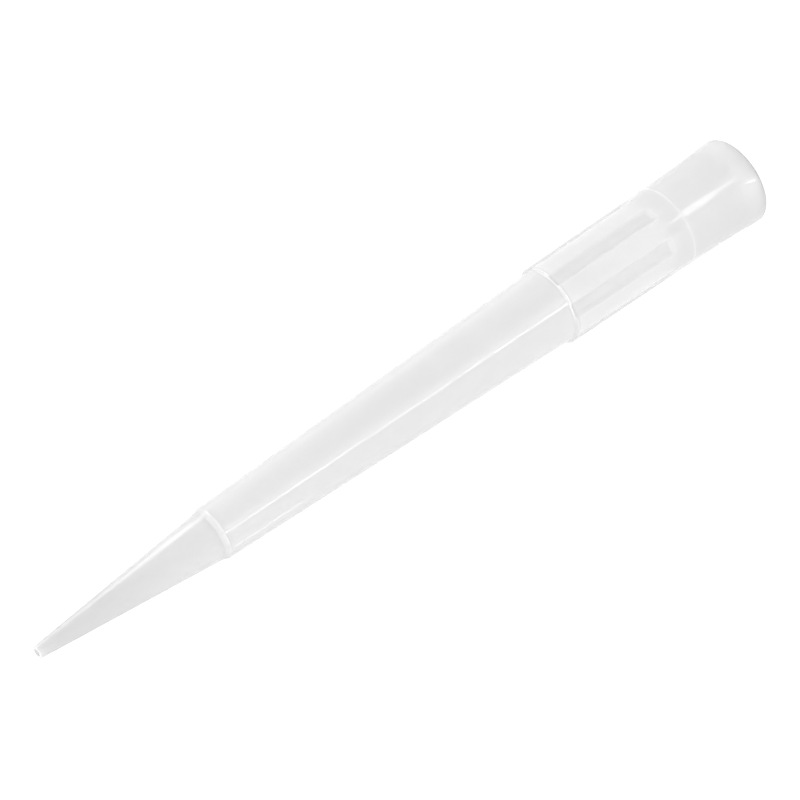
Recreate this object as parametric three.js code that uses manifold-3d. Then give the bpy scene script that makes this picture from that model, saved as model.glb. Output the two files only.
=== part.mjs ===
// A long tip for a one-millilitre pipette, moulded in one piece of clear polypropylene.
// Millimetres, +Z up. The tip is drawn as a section: a radius for each distance along its axis
// from the orifice. The section is turned and its grooves are cut. The tip would roll on its
// side, so it stands on its rim with the orifice at the top.

import * as THREE from 'three';
import { mergeVertices } from 'three/addons/utils/BufferGeometryUtils.js';
import Module from 'manifold-3d';

const wasm = await Module();
wasm.setup();

// Lengths along the axis, in order from the orifice to the rim.
const lowerConeLength = 19.0;
const markRingLength = 0.55;
const bodyLength = 40.1;
const sleeveLength = 12.65;
const neckLength = 2.05;
const collarLength = 6.45;
const flareLength = 1.5;
const lipLength = 1.2;

// Outer radii at the upper ends of the two cones, and how much wider the outside grows at each
// step and along each taper after them.
const orificeRadius = 0.61;
const lowerConeRadius = 2.43;
const markRingStep = 0.2;
const bodyRadius = 3.74;
const shoulderStep = 0.32;
const sleeveGrowth = 0.13;
const collarGrowth = 0.16;
const flareGrowth = 0.125;

// Walls, from the outside in to the bore.
const orificeWall = 0.25;
const lowerConeWall = 0.36;
const bodyWall = 0.54;
const shoulderWall = 0.88;
const sleeveWall = 0.86;
const socketWall = 0.47;
const collarWall = 0.38;

// Two fine raised rings outside: one at the volume mark, one where the neck meets the collar.
const markBeadHeight = 0.03;
const markBeadHalfLength = 0.11;
const collarBeadHeight = 0.04;
const collarBeadHalfLength = 0.2;

// The sealing ring inside the mouth, and the eased mouth itself.
const sealHeight = 0.1;
const sealHalfLength = 0.32;
const leadInLength = 0.5;
const leadInDepth = 0.06;
const rimRound = 0.3;

// Grooves of the sleeve, with walls that lean outwards a little.
const grooveCount = 7;
const grooveDepth = 0.24;
const grooveFloorWidth = 1.36;
const grooveMouthWidth = 1.5;
const grooveRunOut = 0.3;

// The turned surface has the same facets in each groove's share of the circle.
const facetsPerPitch = 8;
const facetCount = grooveCount * facetsPerPitch;
const groovePitch = (2 * Math.PI) / grooveCount;

const edgeRound = 0.1;
const curveSteps = 3;
const cutterMargin = 1;

// Heights of the section's corners.
const ringFootHeight = lowerConeLength;
const ringHeight = ringFootHeight + markRingLength;
const shoulderHeight = ringHeight + bodyLength;
const neckHeight = shoulderHeight + sleeveLength;
const collarHeight = neckHeight + neckLength;
const flareHeight = collarHeight + collarLength;
const lipHeight = flareHeight + flareLength;
const rimHeight = lipHeight + lipLength;

const ringRadius = lowerConeRadius + markRingStep;
const shoulderRadius = bodyRadius + shoulderStep;
const neckRadius = shoulderRadius + sleeveGrowth;
const collarRadius = neckRadius + collarGrowth;
const lipRadius = collarRadius + flareGrowth;

// The outside of the sleeve and neck is one straight taper.
const sleeveTaper = sleeveGrowth / (collarHeight - shoulderHeight);
const sleeveRadiusAt = (height) => shoulderRadius + sleeveTaper * (height - shoulderHeight);

// The radius of a straight taper between two corners.
const between = (height, from, to) => (
  from.radius + ((to.radius - from.radius) * (height - from.height)) / (to.height - from.height)
);

// A path through corners of the section. A corner with a round is eased by a curve that starts
// and ends that far from it.
function sectionThrough(corners) {
  const points = corners.map(({ radius, height }) => new THREE.Vector2(radius, height));
  const path = new THREE.Path();
  path.moveTo(points[0].x, points[0].y);
  for (let i = 1; i < points.length; i += 1) {
    const corner = points[i];
    const round = corners[i].round ?? 0;
    if (round === 0) {
      path.lineTo(corner.x, corner.y);
      continue;
    }
    const towards = (other) => other.clone().sub(corner).setLength(round).add(corner);
    const start = towards(points[i - 1]);
    const end = towards(points[i + 1]);
    path.lineTo(start.x, start.y);
    path.quadraticCurveTo(corner.x, corner.y, end.x, end.y);
  }
  return path.getPoints(curveSteps);
}

// A fine raised ring where two tapers meet: from the taper before it to the one after it.
function bead(before, middle, after, rise, halfLength) {
  const start = middle.height - halfLength;
  const end = middle.height + halfLength;
  return [
    { radius: between(start, before, middle), height: start },
    { radius: middle.radius + rise, height: middle.height, round: halfLength / 2 },
    { radius: between(end, middle, after), height: end },
  ];
}

// The outside, from the orifice up to the rim.
function outerCorners() {
  const ringFoot = { radius: lowerConeRadius, height: ringFootHeight };
  const ring = { radius: ringRadius, height: ringHeight };
  const bodyEnd = { radius: bodyRadius, height: shoulderHeight };
  const shoulder = { radius: shoulderRadius, height: shoulderHeight, round: edgeRound };
  const neckEnd = { radius: neckRadius, height: collarHeight };
  const collarEnd = { radius: collarRadius, height: flareHeight, round: flareLength / 3 };
  return [
    { radius: orificeRadius, height: 0, round: edgeRound / 2 },
    ringFoot,
    ...bead(ringFoot, ring, bodyEnd, markBeadHeight, markBeadHalfLength),
    bodyEnd,
    shoulder,
    ...bead(shoulder, neckEnd, collarEnd, collarBeadHeight, collarBeadHalfLength),
    collarEnd,
    { radius: lipRadius, height: lipHeight, round: flareLength / 3 },
    { radius: lipRadius, height: rimHeight, round: rimRound },
  ];
}

// The inside, from the rim down the socket and the bore to the orifice.
function innerCorners() {
  const mouthRadius = collarRadius - collarWall;
  const socketRadius = sleeveRadiusAt(neckHeight) - socketWall;
  const socketTaper = (mouthRadius - socketRadius) / (flareHeight - neckHeight);
  const socketRadiusAt = (height) => socketRadius + socketTaper * (height - neckHeight);
  const sealTop = collarHeight + sealHalfLength;
  const sealFoot = collarHeight - sealHalfLength;
  return [
    { radius: mouthRadius + leadInDepth, height: rimHeight, round: edgeRound / 2 },
    { radius: mouthRadius, height: rimHeight - leadInLength, round: leadInLength / 3 },
    { radius: mouthRadius, height: flareHeight },
    { radius: socketRadiusAt(sealTop), height: sealTop },
    { radius: socketRadiusAt(collarHeight) - sealHeight, height: collarHeight, round: sealHalfLength / 2 },
    { radius: socketRadiusAt(sealFoot), height: sealFoot },
    { radius: socketRadius, height: neckHeight, round: edgeRound },
    { radius: sleeveRadiusAt(neckHeight) - sleeveWall, height: neckHeight, round: edgeRound },
    { radius: shoulderRadius - shoulderWall, height: shoulderHeight },
    { radius: ringRadius - bodyWall, height: ringHeight },
    { radius: lowerConeRadius - lowerConeWall, height: ringFootHeight },
    { radius: orificeRadius - orificeWall, height: 0 },
  ];
}

// Turns a section into a closed ring. A groove's middle is at angle 0, so the facets start there.
function turned(corners) {
  return new THREE.LatheGeometry(sectionThrough([...corners, corners[0]]), facetCount);
}

function tipSection() {
  const start = { radius: orificeRadius - orificeWall, height: 0 };
  return [start, ...outerCorners(), ...innerCorners().slice(0, -1)];
}

// The space that all the grooves share: a ring round the sleeve, down to their floor. It runs out
// below the shoulder, and its top end rises in a curve to the surface.
function grooveRingSection() {
  const outside = lipRadius + cutterMargin;
  const foot = shoulderHeight - cutterMargin;
  const runOutHeight = neckHeight - grooveRunOut;
  const floorRadius = shoulderRadius - grooveDepth;
  return [
    { radius: outside, height: foot },
    { radius: outside, height: neckHeight },
    { radius: sleeveRadiusAt(neckHeight), height: neckHeight },
    { radius: sleeveRadiusAt(runOutHeight) - grooveDepth, height: runOutHeight, round: grooveRunOut / 2 },
    { radius: floorRadius, height: shoulderHeight },
    { radius: floorRadius, height: foot },
  ];
}

// A bar along the sleeve with one groove's width, which keeps that groove's share of the ring.
function grooveBar(index) {
  const floorRadius = shoulderRadius - grooveDepth;
  const lean = (grooveMouthWidth - grooveFloorWidth) / 2 / grooveDepth;
  const halfWidthAt = (radius) => grooveFloorWidth / 2 + lean * (radius - floorRadius);
  const inside = floorRadius - cutterMargin;
  const outside = lipRadius + 2 * cutterMargin;
  const shape = new THREE.Shape();
  shape.moveTo(-halfWidthAt(inside), -inside);
  shape.lineTo(-halfWidthAt(outside), -outside);
  shape.lineTo(halfWidthAt(outside), -outside);
  shape.lineTo(halfWidthAt(inside), -inside);
  shape.closePath();
  const depth = sleeveLength + 3 * cutterMargin;
  const bar = new THREE.ExtrudeGeometry(shape, { depth, bevelEnabled: false });
  bar.rotateX(-Math.PI / 2);
  bar.translate(0, shoulderHeight - 2 * cutterMargin, 0);
  bar.rotateY(index * groovePitch);
  return bar;
}

// A closed mesh as a solid that can be joined and cut.
function solid(geometry) {
  const bare = geometry.clone();
  bare.deleteAttribute('normal');
  bare.deleteAttribute('uv');
  const merged = mergeVertices(bare);
  const vertProperties = new Float32Array(merged.attributes.position.array);
  const triVerts = new Uint32Array(merged.index.array);
  const mesh = new wasm.Mesh({ numProp: 3, vertProperties, triVerts });
  return new wasm.Manifold(mesh);
}

function geometryOf(shape) {
  const mesh = shape.getMesh();
  const geometry = new THREE.BufferGeometry();
  geometry.setAttribute('position', new THREE.BufferAttribute(mesh.vertProperties, 3));
  geometry.setIndex(new THREE.BufferAttribute(mesh.triVerts, 1));
  geometry.computeVertexNormals();
  return geometry;
}

// The tip with its orifice at the origin and its axis along +Y.
function tipGeometry() {
  const grooveRing = solid(turned(grooveRingSection()));
  let tip = solid(turned(tipSection()));
  for (let index = 0; index < grooveCount; index += 1) {
    const groove = grooveRing.intersect(solid(grooveBar(index)));
    tip = tip.subtract(groove);
  }
  return geometryOf(tip);
}

const polypropylene = new THREE.MeshStandardMaterial({
  color: 0xeceef0,
  roughness: 0.32,
  metalness: 0,
  transparent: true,
  opacity: 0.72,
});

const pipetteTip = new THREE.Group();
const tip = new THREE.Mesh(tipGeometry(), polypropylene);
tip.name = 'pipette_tip';
tip.rotation.x = -Math.PI / 2;
tip.position.z = rimHeight;
pipetteTip.add(tip);

export default pipetteTip;
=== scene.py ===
# %% [markdown]
# # A long pipette tip
#
# A pipette tip is a hollow cone of polypropylene, moulded in one piece. It is pushed on the
# nozzle of a pipette, filled, emptied and thrown away. This one stands on its rim with the
# small orifice at the top.
#
# The CAD part gives its place and its exact sizes, with flat facets. Here the same section is
# turned again as a smooth surface, the grooves get soft edges, and the plastic gets its milky,
# half-clear finish.

# %% Load the frame
import math

import bmesh
import bpy
from mathutils import Matrix, Vector


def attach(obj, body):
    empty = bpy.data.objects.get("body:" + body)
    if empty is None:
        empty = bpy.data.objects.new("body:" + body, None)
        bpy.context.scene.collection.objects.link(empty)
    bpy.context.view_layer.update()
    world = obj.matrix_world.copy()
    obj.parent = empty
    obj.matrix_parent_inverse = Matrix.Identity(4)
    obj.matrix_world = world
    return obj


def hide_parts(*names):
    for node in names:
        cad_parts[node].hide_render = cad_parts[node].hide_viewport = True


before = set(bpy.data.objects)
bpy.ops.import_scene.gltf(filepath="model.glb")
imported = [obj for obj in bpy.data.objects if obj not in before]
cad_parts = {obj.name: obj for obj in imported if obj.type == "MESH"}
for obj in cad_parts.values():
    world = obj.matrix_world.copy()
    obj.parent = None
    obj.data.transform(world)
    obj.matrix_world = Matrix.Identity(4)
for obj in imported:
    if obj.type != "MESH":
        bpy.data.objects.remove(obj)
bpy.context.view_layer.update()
MM = 0.001

# %% [markdown]
# ## The sizes of the section
#
# A lathe or a mould maker describes a tip by its section: a radius at each height. The lengths
# run along the axis from the orifice to the rim, and every radius is a wall's outside or its
# inside. The walls are under a millimetre thick, so the inside is a section of its own.

# %% Lengths along the axis, and the heights that they lead to, in millimetres
LOWER_CONE = 19.0
MARK_RING = 0.55
BODY = 40.1
SLEEVE = 12.65
NECK = 2.05
COLLAR = 6.45
FLARE = 1.5
LIP = 1.2
LENGTH = LOWER_CONE + MARK_RING + BODY + SLEEVE + NECK + COLLAR + FLARE + LIP
RING_FOOT = LENGTH - LOWER_CONE
RING = RING_FOOT - MARK_RING
SHOULDER = RING - BODY
SOCKET_FLOOR = SHOULDER - SLEEVE
COLLAR_FOOT = SOCKET_FLOOR - NECK
FLARE_FOOT = COLLAR_FOOT - COLLAR
LIP_FOOT = FLARE_FOOT - FLARE
print("length", round(LENGTH, 2), "shoulder at", round(SHOULDER, 2))

# %% Outside radii and walls, in millimetres
ORIFICE_RADIUS = 0.61
LOWER_CONE_RADIUS = 2.43
RING_RADIUS = 2.63
BODY_RADIUS = 3.74
SHOULDER_RADIUS = 4.06
NECK_RADIUS = 4.19
COLLAR_RADIUS = 4.35
LIP_RADIUS = 4.475
ORIFICE_WALL = 0.25
LOWER_CONE_WALL = 0.36
BODY_WALL = 0.54
SHOULDER_WALL = 0.88
SLEEVE_WALL = 0.86
SOCKET_WALL = 0.47
COLLAR_WALL = 0.38


def between(height, low, low_radius, high, high_radius):
    """The radius of a straight taper at one height."""
    return low_radius + (high_radius - low_radius) * (height - low) / (high - low)


def sleeve_radius(height):
    return between(height, COLLAR_FOOT, NECK_RADIUS, SHOULDER, SHOULDER_RADIUS)


MOUTH_RADIUS = COLLAR_RADIUS - COLLAR_WALL
SOCKET_RADIUS = sleeve_radius(SOCKET_FLOOR) - SOCKET_WALL


def socket_radius(height):
    return between(height, FLARE_FOOT, MOUTH_RADIUS, SOCKET_FLOOR, SOCKET_RADIUS)


print("mouth", round(2 * MOUTH_RADIUS, 2), "mm across, socket's end", round(2 * SOCKET_RADIUS, 2))

# %% [markdown]
# ## Drawing the section
#
# The section could be built ring by ring, by extruding a circle. Drawing it once as a line and
# spinning it is closer to how a mould is turned, and each corner can be rounded while it is
# still flat. So the line starts as one vertex and is extruded from corner to corner. A list
# says how far each corner's round reaches, and a vertex bevel makes that round.
#
# Two fine beads stand a few hundredths of a millimetre proud: the line on the mark ring and the
# line between the neck and the collar. In the sleeve, the corners where the grooves run out have
# no round, for they only mark the heights at which the grooves get shallower.

# %% How far the rounds reach, and the sizes of the lead-in and the seal ring, in millimetres
ORIFICE_ROUND = 0.05
STEP_ROUND = 0.06
BODY_END_ROUND = 0.2
FLARE_ROUND = FLARE / 3
RIM_ROUND = 0.3
MOUTH_ROUND = 0.05
MOUTH_END_ROUND = 0.4
EDGE_ROUND = 0.1
LEAD_IN_LENGTH = 0.5
LEAD_IN_DEPTH = 0.06
LEAD_IN_ROUND = LEAD_IN_LENGTH / 3
SEAL_HEIGHT = 0.1
SEAL_HALF_LENGTH = 0.32
SEAL_TOP = COLLAR_FOOT + SEAL_HALF_LENGTH
SEAL_FOOT = COLLAR_FOOT - SEAL_HALF_LENGTH
SEAL_FOOT_ROUND = 0.15
SEAL_CREST_ROUND = SEAL_HALF_LENGTH / 2
print("seal ring from", round(SEAL_FOOT, 2), "to", round(SEAL_TOP, 2), "mm")

# %% The two beads, and the steps in which the grooves run out
MARK_BEAD_RISE, MARK_BEAD_HALF_LENGTH = 0.02, 0.11
COLLAR_BEAD_RISE, COLLAR_BEAD_HALF_LENGTH = 0.05, 0.18
GROOVE_RUN_OUT = 0.75
# Each step: how far up the run-out it lies, and its share of the groove's depth.
RUN_OUT_STEPS = [(1.0, 1.0), (0.88, 0.93), (0.12, 0.07)]


def bead(before, middle, after, rise, half_length):
    """A fine raised ring where two tapers meet: its three corners, from the top one down."""
    (above, top), (radius, height), (below, foot) = before, middle, after
    start, end = height + half_length, height - half_length
    return [
        (between(start, top, above, height, radius), start, half_length / 4),
        (radius + rise, height, half_length / 2),
        (between(end, height, radius, foot, below), end, half_length / 4),
    ]


def run_out_height(share):
    return SOCKET_FLOOR + GROOVE_RUN_OUT * share


print("grooves run out below", round(run_out_height(1), 2), "mm")

# %% The corners of the section, from the orifice down the outside and up the inside
ring_foot = (LOWER_CONE_RADIUS, RING_FOOT)
ring = (RING_RADIUS, RING)
body_end = (BODY_RADIUS, SHOULDER)
shoulder = (SHOULDER_RADIUS, SHOULDER)
neck_end = (NECK_RADIUS, COLLAR_FOOT)
collar_end = (COLLAR_RADIUS, FLARE_FOOT)
run_out_heights = [run_out_height(share) for share, _ in RUN_OUT_STEPS]

corners = [
    (ORIFICE_RADIUS, LENGTH, ORIFICE_ROUND),
    (*ring_foot, STEP_ROUND),
    *bead(ring_foot, ring, body_end, MARK_BEAD_RISE, MARK_BEAD_HALF_LENGTH),
    (*body_end, BODY_END_ROUND),
    (*shoulder, STEP_ROUND),
    *[(sleeve_radius(height), height, 0) for height in run_out_heights],
    (sleeve_radius(SOCKET_FLOOR), SOCKET_FLOOR, 0),
    *bead(shoulder, neck_end, collar_end, COLLAR_BEAD_RISE, COLLAR_BEAD_HALF_LENGTH),
    (*collar_end, FLARE_ROUND),
    (LIP_RADIUS, LIP_FOOT, FLARE_ROUND),
    (LIP_RADIUS, 0, RIM_ROUND),
    (MOUTH_RADIUS + LEAD_IN_DEPTH, 0, MOUTH_ROUND),
    (MOUTH_RADIUS, LEAD_IN_LENGTH, LEAD_IN_ROUND),
    (MOUTH_RADIUS, FLARE_FOOT, MOUTH_END_ROUND),
    (socket_radius(SEAL_FOOT), SEAL_FOOT, SEAL_FOOT_ROUND),
    (socket_radius(COLLAR_FOOT) - SEAL_HEIGHT, COLLAR_FOOT, SEAL_CREST_ROUND),
    (socket_radius(SEAL_TOP), SEAL_TOP, SEAL_FOOT_ROUND),
    (SOCKET_RADIUS, SOCKET_FLOOR, EDGE_ROUND),
    (sleeve_radius(SOCKET_FLOOR) - SLEEVE_WALL, SOCKET_FLOOR, EDGE_ROUND),
    (SHOULDER_RADIUS - SHOULDER_WALL, SHOULDER, 0),
    (RING_RADIUS - BODY_WALL, RING, EDGE_ROUND),
    (LOWER_CONE_RADIUS - LOWER_CONE_WALL, RING_FOOT, EDGE_ROUND),
    (ORIFICE_RADIUS - ORIFICE_WALL, LENGTH, 0),
]
print(len(corners), "corners in the section")

# %% Two helpers: select vertices by their place, and tell a corner by its place
SAME_PLACE = 1e-4


def choose(mesh_object, wanted):
    """In edit mode, selects only the vertices for which wanted(position in mm) holds."""
    bpy.ops.mesh.select_mode(type="VERT")
    bpy.ops.mesh.select_all(action="DESELECT")
    mesh = bmesh.from_edit_mesh(mesh_object.data)
    for vertex in mesh.verts:
        vertex.select_set(wanted(vertex.co / MM))
    mesh.select_flush(True)
    bmesh.update_edit_mesh(mesh_object.data)


def is_at(place, radius, height):
    return abs(place.y + radius) < SAME_PLACE and abs(place.z - height) < SAME_PLACE


# %% Extrude one vertex from corner to corner
# A small triangle that is merged at its centre is the one vertex to start from.
ends = [corner[:2] for corner in (corners[0], corners[-1])]
first_radius, first_height = ends[0]
bpy.ops.object.select_all(action="DESELECT")
bpy.ops.mesh.primitive_circle_add(vertices=3, radius=MM, location=(0, 0, 0))
tip = bpy.context.object
tip.name = tip.data.name = "tip"
bpy.ops.object.mode_set(mode="EDIT")
bpy.ops.mesh.merge(type="CENTER")
bpy.ops.mesh.select_all(action="SELECT")
bpy.ops.transform.translate(value=(0, -first_radius * MM, first_height * MM))
for (radius, height, _), (next_radius, next_height, _) in zip(corners, corners[1:]):
    step = (0, (radius - next_radius) * MM, (next_height - height) * MM)
    bpy.ops.mesh.extrude_vertices_move(TRANSFORM_OT_translate={"value": step})
choose(tip, lambda place: any(is_at(place, *end) for end in ends))
bpy.ops.mesh.edge_face_add()
print(len(bmesh.from_edit_mesh(tip.data).edges), "straight edges, closed at the orifice")

# %% Round the corners
ROUND_STEPS = 4
for radius, height, reach in corners:
    if reach:
        choose(tip, lambda place: is_at(place, radius, height))
        bpy.ops.mesh.bevel(offset=reach * MM, segments=ROUND_STEPS, affect="VERTICES")
bpy.ops.object.mode_set(mode="OBJECT")
print(len(tip.data.vertices), "points in the rounded section")

# %% [markdown]
# ## Spinning one pitch of the sleeve
#
# Seven shallow grooves run along the sleeve. Grooves like these keep a thick wall from sinking as
# it cools, and give the fingers a grip. They could be cut out of a finished body, but a cut
# leaves ragged faces along its edges, and those show in a glossy skin. So the section is spun
# through one seventh of a turn only, with columns of vertices just where the groove's edges will
# be. All the other columns are evenly spaced, because the highlights on a round body stay
# straight only where its faces are equally wide.

# %% Where the columns of vertices stand round the axis
GROOVES = 7
PITCH = 2 * math.pi / GROOVES
GROOVE_MOUTH_WIDTH = 1.5
# Across a groove's edge: how far inside the mouth's edge, in mm, and what share of the depth.
GROOVE_EDGE = [
    (-0.11, 0.0),
    (-0.07, 0.04),
    (-0.02, 0.18),
    (0.04, 0.42),
    (0.1, 0.67),
    (0.16, 0.88),
    (0.21, 0.97),
    (0.27, 1.0),
]
middle_radius = sleeve_radius((SHOULDER + SOCKET_FLOOR) / 2)
mouth_half_angle = math.asin(GROOVE_MOUTH_WIDTH / 2 / middle_radius)
edge_angles = [mouth_half_angle - offset / SHOULDER_RADIUS for offset, _ in GROOVE_EDGE]
print("half a groove is", round(math.degrees(mouth_half_angle), 1), "degrees wide at its mouth")

# %% Spin one pitch of the sleeve, from the middle of a land to the middle of the next
LAND_STEPS, FLOOR_STEPS = 17, 17


def spin(angle, steps, copies=False):
    bpy.ops.mesh.spin(steps=steps, angle=angle, dupli=copies, center=(0, 0, 0), axis=(0, 0, 1))


bpy.ops.object.mode_set(mode="EDIT")
bpy.ops.mesh.select_all(action="SELECT")
spin(PITCH / 2 - edge_angles[0], LAND_STEPS)
for wide, narrow in zip(edge_angles, edge_angles[1:]):
    spin(wide - narrow, 1)
spin(2 * edge_angles[-1], FLOOR_STEPS)
for wide, narrow in reversed(list(zip(edge_angles, edge_angles[1:]))):
    spin(wide - narrow, 1)
spin(PITCH / 2 - edge_angles[0], LAND_STEPS)
print(len(bmesh.from_edit_mesh(tip.data).verts), "vertices in one pitch")

# %% [markdown]
# ## Pushing the groove in
#
# The floor of a groove is part of a thinner cone, its edges are softly rounded, and above the
# neck it rises to the skin in a short gentle slope. At the shoulder it is open, because the tip
# slides out of its mould that way. So each ring of vertices on the outside of the sleeve is
# scaled towards the axis where the groove lies: by the whole depth on the floor, and by less and
# less across the edge. Scaling towards the axis keeps the floor round, which moving it straight
# in would not.

# %% Find the rings of the sleeve and how deep the groove is at each
GROOVE_DEPTH = 0.24
NEAR = 1e-3


def radius_of(place):
    return math.hypot(place.x, place.y)


def in_groove_stretch(place):
    """Whether a place is on the outside of the sleeve, where the grooves are."""
    along_the_sleeve = SOCKET_FLOOR + NEAR < place.z < SHOULDER + NEAR
    return along_the_sleeve and radius_of(place) > SHOULDER_RADIUS - SHOULDER_WALL / 2


def depth_at(height):
    shares = [
        share for reach, share in RUN_OUT_STEPS if abs(height - run_out_height(reach)) < NEAR
    ]
    return GROOVE_DEPTH * (shares[0] if shares else 1)


section_rings = sorted(
    (round(vertex.co.z / MM, 4), -vertex.co.y / MM)
    for vertex in bmesh.from_edit_mesh(tip.data).verts
    if abs(vertex.co.x) < NEAR * MM and in_groove_stretch(vertex.co / MM)
)
print(len(section_rings), "rings between", section_rings[0][0], "and", section_rings[-1][0], "mm")


# %% Push the groove in, ring by ring
def off_middle(place):
    """The angle between a place and the middle of the groove, round the axis."""
    return abs(abs(math.atan2(place.x, -place.y)) - PITCH / 2)


for height, radius in section_rings:
    drop = radius - (sleeve_radius(height) - depth_at(height))
    if drop <= 0:
        continue
    for angle, (_, share) in zip(edge_angles, GROOVE_EDGE):
        if share == 0:
            continue
        inner_angle = -1 if share == 1 else angle - NEAR / 2
        choose(tip, lambda place: (
            abs(place.z - height) < NEAR
            and abs(radius_of(place) - radius) < NEAR
            and inner_angle < off_middle(place) < angle + NEAR / 2
        ))
        scale = (radius - share * drop) / radius
        bpy.ops.transform.resize(value=(scale, scale, 1), center_override=(0, 0, 0))
print("the groove is", GROOVE_DEPTH, "mm deep")

# %% [markdown]
# ## Seven pitches make the tip
#
# The other six pitches are copies turned round the axis, so all grooves are alike, as they are
# from a turned and cut mould. Vertices that lie on each other along the seams are merged, which
# makes one closed skin. Shading is smooth except over sharp corners, and weighted normals let the
# large faces rule, so that the tapers stay even and only the small rounds catch the light.

# %% Copy the pitch round the axis and close the seams
MERGE = 1e-6
bpy.ops.mesh.select_all(action="SELECT")
spin((GROOVES - 1) * PITCH, GROOVES - 1, copies=True)
bpy.ops.mesh.select_all(action="SELECT")
bpy.ops.mesh.remove_doubles(threshold=MERGE)
bpy.ops.mesh.select_all(action="SELECT")
bpy.ops.mesh.normals_make_consistent(inside=False)
bpy.ops.object.mode_set(mode="OBJECT")
print(len(tip.data.vertices), "vertices", len(tip.data.polygons), "faces")

# %% Shade it smooth, and let the large faces rule
SHARP_ANGLE = math.radians(35)
bpy.ops.object.shade_smooth_by_angle(angle=SHARP_ANGLE)
bpy.ops.object.modifier_add(type="WEIGHTED_NORMAL")
weighted = tip.modifiers[-1]
weighted.mode = "FACE_AREA"
weighted.keep_sharp = True
bpy.ops.object.modifier_apply(modifier=weighted.name)
print("modifiers left on", tip.name + ":", len(tip.modifiers))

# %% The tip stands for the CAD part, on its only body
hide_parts("pipette_tip")
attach(tip, "root")
print(tip.name, "stands for the CAD part")

# %% [markdown]
# ## The plastic
#
# Natural polypropylene is milky: light goes in, scatters between tiny crystals and comes out
# some way off, and a little goes straight through a thin wall. Painting that as a grey would
# look like chalk. Subsurface scattering does what the plastic does, so light spreads along the
# wall and the shading stays soft. A clear coat stands for the polish that the skin of the
# plastic takes from the mould, and gives the fine highlights.
#
# The base colour is set by height, and part of it is painted light. The plastic is whitest at the
# rim, less white along the body and darker towards the thin orifice. A brighter band on the
# collar's bead is a painted highlight, and the small rounds at the shoulder and the mark ring,
# which gather light from all sides, are darkened as painted shade, which keeps them from burning
# out. The plastic also clouds slightly where it flowed, and the skin has a faint unevenness that
# a highlight shows.

# %% Numbers of the plastic that are the same all over
PLASTIC = {
    "IOR": 1.49,
    "Transmission Weight": 0.15,
    "Subsurface Weight": 0.6,
    "Subsurface Radius": (1, 1, 1),
    "Subsurface Scale": 0.002,
    "Coat Weight": 1,
    "Coat Roughness": 0.03,
}
plastic = bpy.data.materials.new("milky_polypropylene")
plastic.use_nodes = True
nodes, links = plastic.node_tree.nodes, plastic.node_tree.links
shader = nodes["Principled BSDF"]
for socket, value in PLASTIC.items():
    shader.inputs[socket].default_value = value
    print(socket, value)

# %% Whiteness and painted light at each height, from the rim to the orifice
WHITENESS_AND_PAINTED_LIGHT = [
    (0, 0.99),
    (LIP_FOOT, 0.97),
    (FLARE_FOOT, 0.95),
    (COLLAR_FOOT - 1.5 * COLLAR_BEAD_HALF_LENGTH, 0.94),
    # Painted highlight: a narrow band of full white on the collar's bead.
    (COLLAR_FOOT - COLLAR_BEAD_HALF_LENGTH / 2, 1.0),
    (COLLAR_FOOT + COLLAR_BEAD_HALF_LENGTH / 2, 1.0),
    (COLLAR_FOOT + 1.5 * COLLAR_BEAD_HALF_LENGTH, 0.92),
    (SOCKET_FLOOR, 0.88),
    (SHOULDER - 2 * EDGE_ROUND, 0.85),
    # Painted shade: darker on the shoulder's rounds, so that their highlight does not burn out.
    (SHOULDER - EDGE_ROUND, 0.68),
    (SHOULDER + EDGE_ROUND / 2, 0.74),
    (SHOULDER + 3 * EDGE_ROUND, 0.86),
    (SHOULDER + BODY / 8, 0.86),
    (SHOULDER + BODY / 2, 0.83),
    (RING - MARK_RING, 0.84),
    # Painted shade: darker on the mark ring's round and chamfer, so that they do not burn out.
    (RING, 0.77),
    (RING_FOOT, 0.79),
    (RING_FOOT + MARK_RING, 0.86),
    (RING_FOOT + LOWER_CONE / 4, 0.85),
    (RING_FOOT + LOWER_CONE * 2 / 3, 0.76),
    (LENGTH, 0.72),
]
coordinates = nodes.new("ShaderNodeTexCoord")
heights = nodes.new("ShaderNodeSeparateXYZ")
share_of_length = nodes.new("ShaderNodeMapRange")
whiteness_and_painted_light = nodes.new("ShaderNodeValToRGB")
links.new(coordinates.outputs["Object"], heights.inputs["Vector"])
links.new(heights.outputs["Z"], share_of_length.inputs["Value"])
share_of_length.inputs["From Max"].default_value = LENGTH * MM
links.new(share_of_length.outputs["Result"], whiteness_and_painted_light.inputs["Fac"])
stops = whiteness_and_painted_light.color_ramp.elements
for height, _ in WHITENESS_AND_PAINTED_LIGHT[1:-1]:
    stops.new(height / LENGTH)
for stop, (height, white) in zip(stops, WHITENESS_AND_PAINTED_LIGHT):
    stop.position = height / LENGTH
    stop.color = (white, white, white, 1)
print(len(stops), "stops of whiteness from the rim to the orifice")

# %% Two helpers: a noise of patches, and its middle range spread between two values
NOISE_LOW, NOISE_HIGH = 0.3, 0.7


def noise(size, detail):
    """A noise whose patches are about size mm across."""
    made = nodes.new("ShaderNodeTexNoise")
    made.inputs["Scale"].default_value = 1 / (size * MM)
    made.inputs["Detail"].default_value = detail
    links.new(coordinates.outputs["Object"], made.inputs["Vector"])
    return made.outputs["Fac"]


def spread(source, low, high):
    """The middle of a noise's range, spread from low to high."""
    made = nodes.new("ShaderNodeMapRange")
    made.inputs["From Min"].default_value = NOISE_LOW
    made.inputs["From Max"].default_value = NOISE_HIGH
    made.inputs["To Min"].default_value = low
    made.inputs["To Max"].default_value = high
    links.new(source, made.inputs["Value"])
    return made.outputs["Result"]


# %% Clouds in the plastic, an uneven gloss and a faintly uneven skin
CLOUD_SIZE, GLOSS_PATCH_SIZE, SKIN_WAVE_SIZE = 2.5, 1.2, 0.9
CLOUD_DEPTH = 0.012
GLOSSIEST, DULLEST = 0.29, 0.34
SKIN_DEPTH = 0.0005

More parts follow.
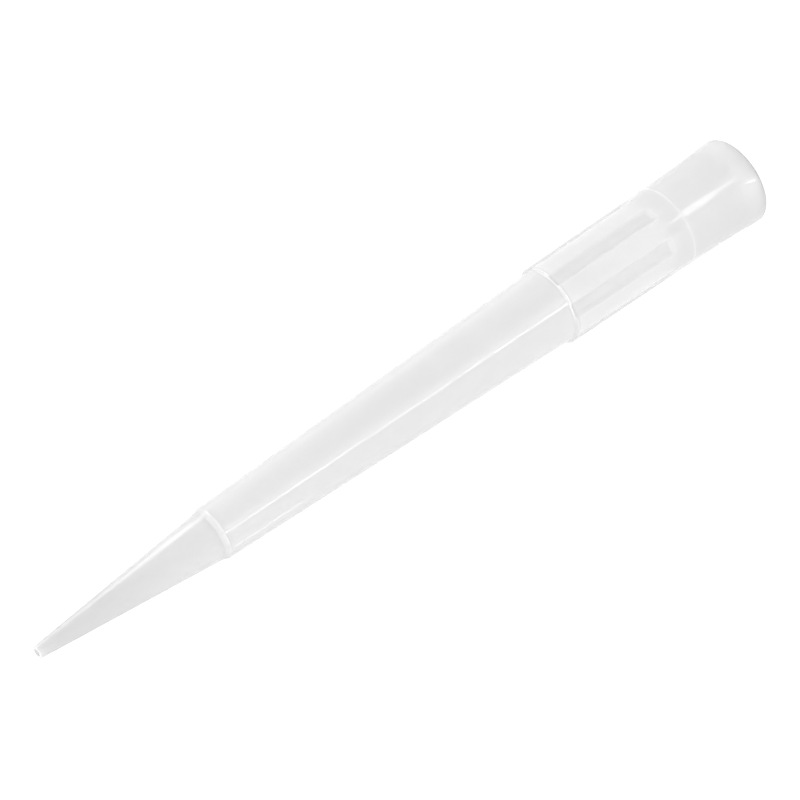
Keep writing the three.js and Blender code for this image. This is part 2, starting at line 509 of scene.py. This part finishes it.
clouds = spread(noise(CLOUD_SIZE, detail=3), 1 - CLOUD_DEPTH, 1)
clouded = nodes.new("ShaderNodeVectorMath")
clouded.operation = "SCALE"
links.new(whiteness_and_painted_light.outputs["Color"], clouded.inputs[0])
links.new(clouds, clouded.inputs["Scale"])
links.new(clouded.outputs["Vector"], shader.inputs["Base Color"])
gloss = spread(noise(GLOSS_PATCH_SIZE, detail=2), GLOSSIEST, DULLEST)
links.new(gloss, shader.inputs["Roughness"])
skin = nodes.new("ShaderNodeBump")
skin.inputs["Strength"].default_value = 1
skin.inputs["Distance"].default_value = SKIN_DEPTH * MM
links.new(noise(SKIN_WAVE_SIZE, detail=2), skin.inputs["Height"])
for normal in ("Normal", "Coat Normal"):
    links.new(skin.outputs["Normal"], shader.inputs[normal])
tip.data.materials.clear()
tip.data.materials.append(plastic)
print(len(nodes), "nodes in", plastic.name)

# %% [markdown]
# ## The camera
#
# The tip stands up, yet it is shown leaning across the whole frame: that is only the camera
# rolled round its line of sight. So the camera is built from three directions. It looks down a
# little at the front, its right-hand side runs part of the way down the tip, and its place is
# reached from the orifice by going along, across and back. The long lens keeps the sides of the
# tip almost parallel.

# %% Where the camera stands and how it is turned
ELEVATION = math.radians(23.8)
ROLL = math.radians(34.09)
ALONG, ACROSS, BACK = 38.2, 0.52, 323.8
along = Vector((0, -math.sin(ELEVATION), -math.cos(ELEVATION)))
across = Vector((1, 0, 0))
forward = Vector((0, math.cos(ELEVATION), -math.sin(ELEVATION)))
right = along * math.cos(ROLL) - across * math.sin(ROLL)
up = along * math.sin(ROLL) + across * math.cos(ROLL)
place = Vector((0, 0, LENGTH)) + ALONG * along + ACROSS * across - BACK * forward
print("camera at", [round(value) for value in place], "mm")

# %% The camera
SENSOR_WIDTH = 36
FOCAL_LENGTH = 168.75
NEAREST_SEEN = 10
camera_data = bpy.data.cameras.new("camera")
camera_data.sensor_width = SENSOR_WIDTH
camera_data.lens = FOCAL_LENGTH
camera_data.clip_start = NEAREST_SEEN * MM
camera = bpy.data.objects.new("camera", camera_data)
bpy.context.collection.objects.link(camera)
camera.rotation_mode = "QUATERNION"
camera.rotation_quaternion = Matrix((right, up, -forward)).transposed().to_quaternion()
camera.location = place * MM
scene = bpy.context.scene
scene.camera = camera
scene.view_settings.view_transform = "Standard"
print("lens", FOCAL_LENGTH, "mm")

# %% [markdown]
# ## The floor and the light all round
#
# The tip stands on a plain floor that has to look white. Turning the lamps up until it does would
# burn out the milky plastic too, so the floor and the world are made brighter only for the rays
# that look at them: straight from the camera, in a reflection or through the plastic. The floor's
# own grey is kept well under white, because a glossy tip seen from above mirrors it at a flat
# angle. The plastic is lit at a plain level, and the floor still takes the tip's shadow.

# %% A helper: how strongly something shines, by what the ray does
def light_strength(tree, socket, plain, through, mirrored, seen):
    """Sets one strength for plain light, through plastic, in a reflection and for the camera."""
    path = tree.nodes.new("ShaderNodeLightPath")
    socket.default_value = plain
    for way, strength in (("Transmission", through), ("Glossy", mirrored), ("Camera", seen)):
        mix = tree.nodes.new("ShaderNodeMix")
        tree.links.new(path.outputs[f"Is {way} Ray"], mix.inputs["Factor"])
        mix.inputs["A"].default_value = plain
        mix.inputs["B"].default_value = strength
        if socket.is_linked:
            tree.links.new(socket.links[0].from_socket, mix.inputs["A"])
        tree.links.new(mix.outputs["Result"], socket)


# %% The floor
FLOOR_SIZE_IN_METRES = 6
FLOOR_GREY = 0.45
FLOOR_GLOW, FLOOR_GLOW_IN_PLASTIC = 0.9, 0.38

bpy.ops.object.select_all(action="DESELECT")
bpy.ops.mesh.primitive_plane_add(size=FLOOR_SIZE_IN_METRES, location=(0, 0, 0))
floor = bpy.context.object
floor.name = "floor"
paint = bpy.data.materials.new("white_floor")
paint.use_nodes = True
floor_shader = paint.node_tree.nodes["Principled BSDF"]
floor_shader.inputs["Base Color"].default_value = (FLOOR_GREY, FLOOR_GREY, FLOOR_GREY, 1)
floor_shader.inputs["Roughness"].default_value = 1
floor_shader.inputs["Specular IOR Level"].default_value = 0
floor_shader.inputs["Emission Color"].default_value = (1, 1, 1, 1)
light_strength(
    paint.node_tree,
    floor_shader.inputs["Emission Strength"],
    plain=0,
    through=FLOOR_GLOW_IN_PLASTIC,
    mirrored=FLOOR_GLOW_IN_PLASTIC,
    seen=FLOOR_GLOW,
)
floor.data.materials.append(paint)
print("floor grey", FLOOR_GREY, "glow", FLOOR_GLOW)

# %% The world
ROOM_LIGHT = 0.84
world = bpy.data.worlds.new("studio")
scene.world = world
world.use_nodes = True
room = world.node_tree.nodes["Background"]
room.inputs["Color"].default_value = (1, 1, 1, 1)
light_strength(
    world.node_tree,
    room.inputs["Strength"],
    plain=ROOM_LIGHT,
    through=1,
    mirrored=1,
    seen=1,
)
print("room light", ROOM_LIGHT)

# %% [markdown]
# ## The lamps
#
# Two large softboxes, left and right of the camera, and a weak one in front give the soft
# modelling. They are big and near, so nothing gets a hard edge.
#
# The camera looks down at walls that are nearly upright, so what it sees mirrored in them is the
# table in front of the tip. That is why a long highlight on such a tip comes from something low:
# here narrow light strips lie on the table, pointing away from the tip, and each draws one line
# on the plastic. A strip at some angle round the tip shows at half that angle. The lower cone
# tapers more and mirrors what stands further off, so its band of light comes from a low panel
# instead of a strip.

# %% Two helpers: a direction, and a lamp that shines along one
def direction(turn, rise):
    """The direction at a turn from the front and a rise above the table, both in degrees."""
    turn, rise = math.radians(turn), math.radians(rise)
    level = math.cos(rise)
    return Vector((math.sin(turn) * level, -math.cos(turn) * level, math.sin(rise)))


def lamp(name, shape, width, length, brightness, place, side, forth):
    """A lamp that shines along forth, as bright as a surface of that brightness."""
    data = bpy.data.lights.new(name, "AREA")
    data.shape = shape
    data.size, data.size_y = width * MM, length * MM
    data.energy = brightness * math.pi * data.size * data.size_y
    made = bpy.data.objects.new(name, data)
    bpy.context.collection.objects.link(made)
    made.location = place * MM
    made.rotation_mode = "QUATERNION"
    axes = Matrix((side, side.cross(forth), -forth)).transposed()
    made.rotation_quaternion = axes.to_quaternion()
    made.visible_camera = False


# %% Softboxes
BOX_SIZE, BOX_DISTANCE = 340, 400
BOX_AIM = Vector((0, 0, LENGTH / 2))


def softbox(name, turn, rise, brightness):
    away = direction(turn, rise)
    place = BOX_AIM + BOX_DISTANCE * away
    lamp(name, "SQUARE", BOX_SIZE, BOX_SIZE, brightness, place, direction(turn + 90, 0), -away)


softbox("left_box", turn=-55, rise=50, brightness=2.6)
softbox("right_box", turn=92, rise=40, brightness=2.35)
softbox("front_box", turn=10, rise=50, brightness=1)
print("softboxes", BOX_SIZE, "mm wide,", BOX_DISTANCE, "mm away")

# %% A low panel standing on the table: its light lies along one side of the lower cone
PANEL_TURN, PANEL_DISTANCE = 92, 420
PANEL_WIDTH, PANEL_HEIGHT = 190, 90
PANEL_BRIGHTNESS = 2.2
to_panel = direction(PANEL_TURN, 0)
lamp(
    "low_panel",
    "RECTANGLE",
    PANEL_WIDTH,
    PANEL_HEIGHT,
    PANEL_BRIGHTNESS,
    place=PANEL_DISTANCE * to_panel + Vector((0, 0, PANEL_HEIGHT / 2)),
    side=direction(PANEL_TURN + 90, 0),
    forth=-to_panel,
)
print("panel", PANEL_WIDTH, "by", PANEL_HEIGHT, "mm,", PANEL_DISTANCE, "mm away")

# %% Light strips on the table
STRIP_LIFT = 0.2
# Each strip: name, turn in degrees, nearest and farthest end and width in mm, brightness, shape.
STRIPS = [
    ("body_line_near", -23.7, 57, 100, 3, 9, "RECTANGLE"),
    ("body_line_middle", -24.5, 100, 150, 4.5, 9, "RECTANGLE"),
    ("body_line_far", -25, 150, 215, 8, 9, "RECTANGLE"),
    ("body_glow_near", -12, 57, 120, 30, 0.8, "RECTANGLE"),
    ("body_glow_far", -12, 120, 215, 60, 0.7, "RECTANGLE"),
    ("body_short_line_near", -94.6, 160, 176, 7, 6, "RECTANGLE"),
    ("body_short_line_far", -98, 176, 192, 7, 6, "RECTANGLE"),
    ("edge_glow_right", 117, 25, 55, 16, 0.15, "RECTANGLE"),
    ("edge_glow_left", -117, 25, 55, 16, 0.25, "RECTANGLE"),
    ("edge_glow_near", 110, 55, 90, 18, 0.4, "RECTANGLE"),
    ("edge_glow_middle", 107, 90, 190, 38, 0.4, "RECTANGLE"),
    ("edge_glow_far", 95, 330, 420, 170, 2, "RECTANGLE"),
    ("sleeve_glow", -34, 30, 55, 7, 0.5, "RECTANGLE"),
    ("collar_glow", 1.5, 13, 25, 5, 2.3, "ELLIPSE"),
    ("collar_line", 2.5, 9.5, 16, 1.2, 2.2, "RECTANGLE"),
    ("rim_line", -16, 5.2, 8.6, 0.22, 7, "RECTANGLE"),
]
upwards = Vector((0, 0, 1))
for name, turn, near, far, width, brightness, shape in STRIPS:
    outwards = direction(turn, 0)
    place = outwards * (near + far) / 2 + STRIP_LIFT * upwards
    lamp(name, shape, width, far - near, brightness, place, outwards.cross(upwards), upwards)
lamps = [lit.name for lit in bpy.data.objects if lit.type == "LIGHT"]
print(len(lamps), "lamps:", lamps)
